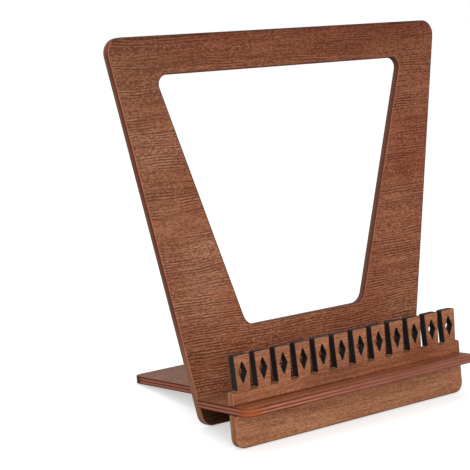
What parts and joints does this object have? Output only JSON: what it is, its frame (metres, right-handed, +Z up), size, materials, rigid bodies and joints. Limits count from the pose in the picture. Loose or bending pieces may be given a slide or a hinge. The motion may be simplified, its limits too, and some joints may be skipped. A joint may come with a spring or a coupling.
{
  "type": "vinyl record stand",
  "caption": "Flat-pack wooden stand of slotted boards: a leaning frame panel, a shelf with a rear tongue, a locking key and a front plate with a pierced crest that holds record sleeves upright.",
  "frame": {"origin": "on the surface that the stand stands on, below the middle of the bounding box", "axes": "+X to the stand's right as seen from the front, +Y to the back, +Z up; the front, where the records stand, faces -Y"},
  "size_m": [0.309, 0.1898, 0.284],
  "materials": {
    "panel_veneer": "oiled red-brown veneer",
    "shelf_veneer": "oiled red-brown veneer",
    "plate_veneer": "oiled brown veneer with dark cut edges",
    "key_veneer": "oiled red-brown veneer"
  },
  "bodies": {
    "stand": {"base_board": "shelf_veneer", "back_panel": "panel_veneer"},
    "plate": {"front_plate": "plate_veneer"},
    "key": {"locking_key": "key_veneer"}
  },
  "joints": [
    {"name": "front_plate_slide", "type": "slide", "parent": "stand", "child": "plate", "axis": [1, 0, 0], "range_m": [0, 0.2213]},
    {"name": "key_lift", "type": "slide", "parent": "stand", "child": "key", "axis": [0, 0.1455, 0.9894], "range_m": [0, 0.02]}
  ]
}
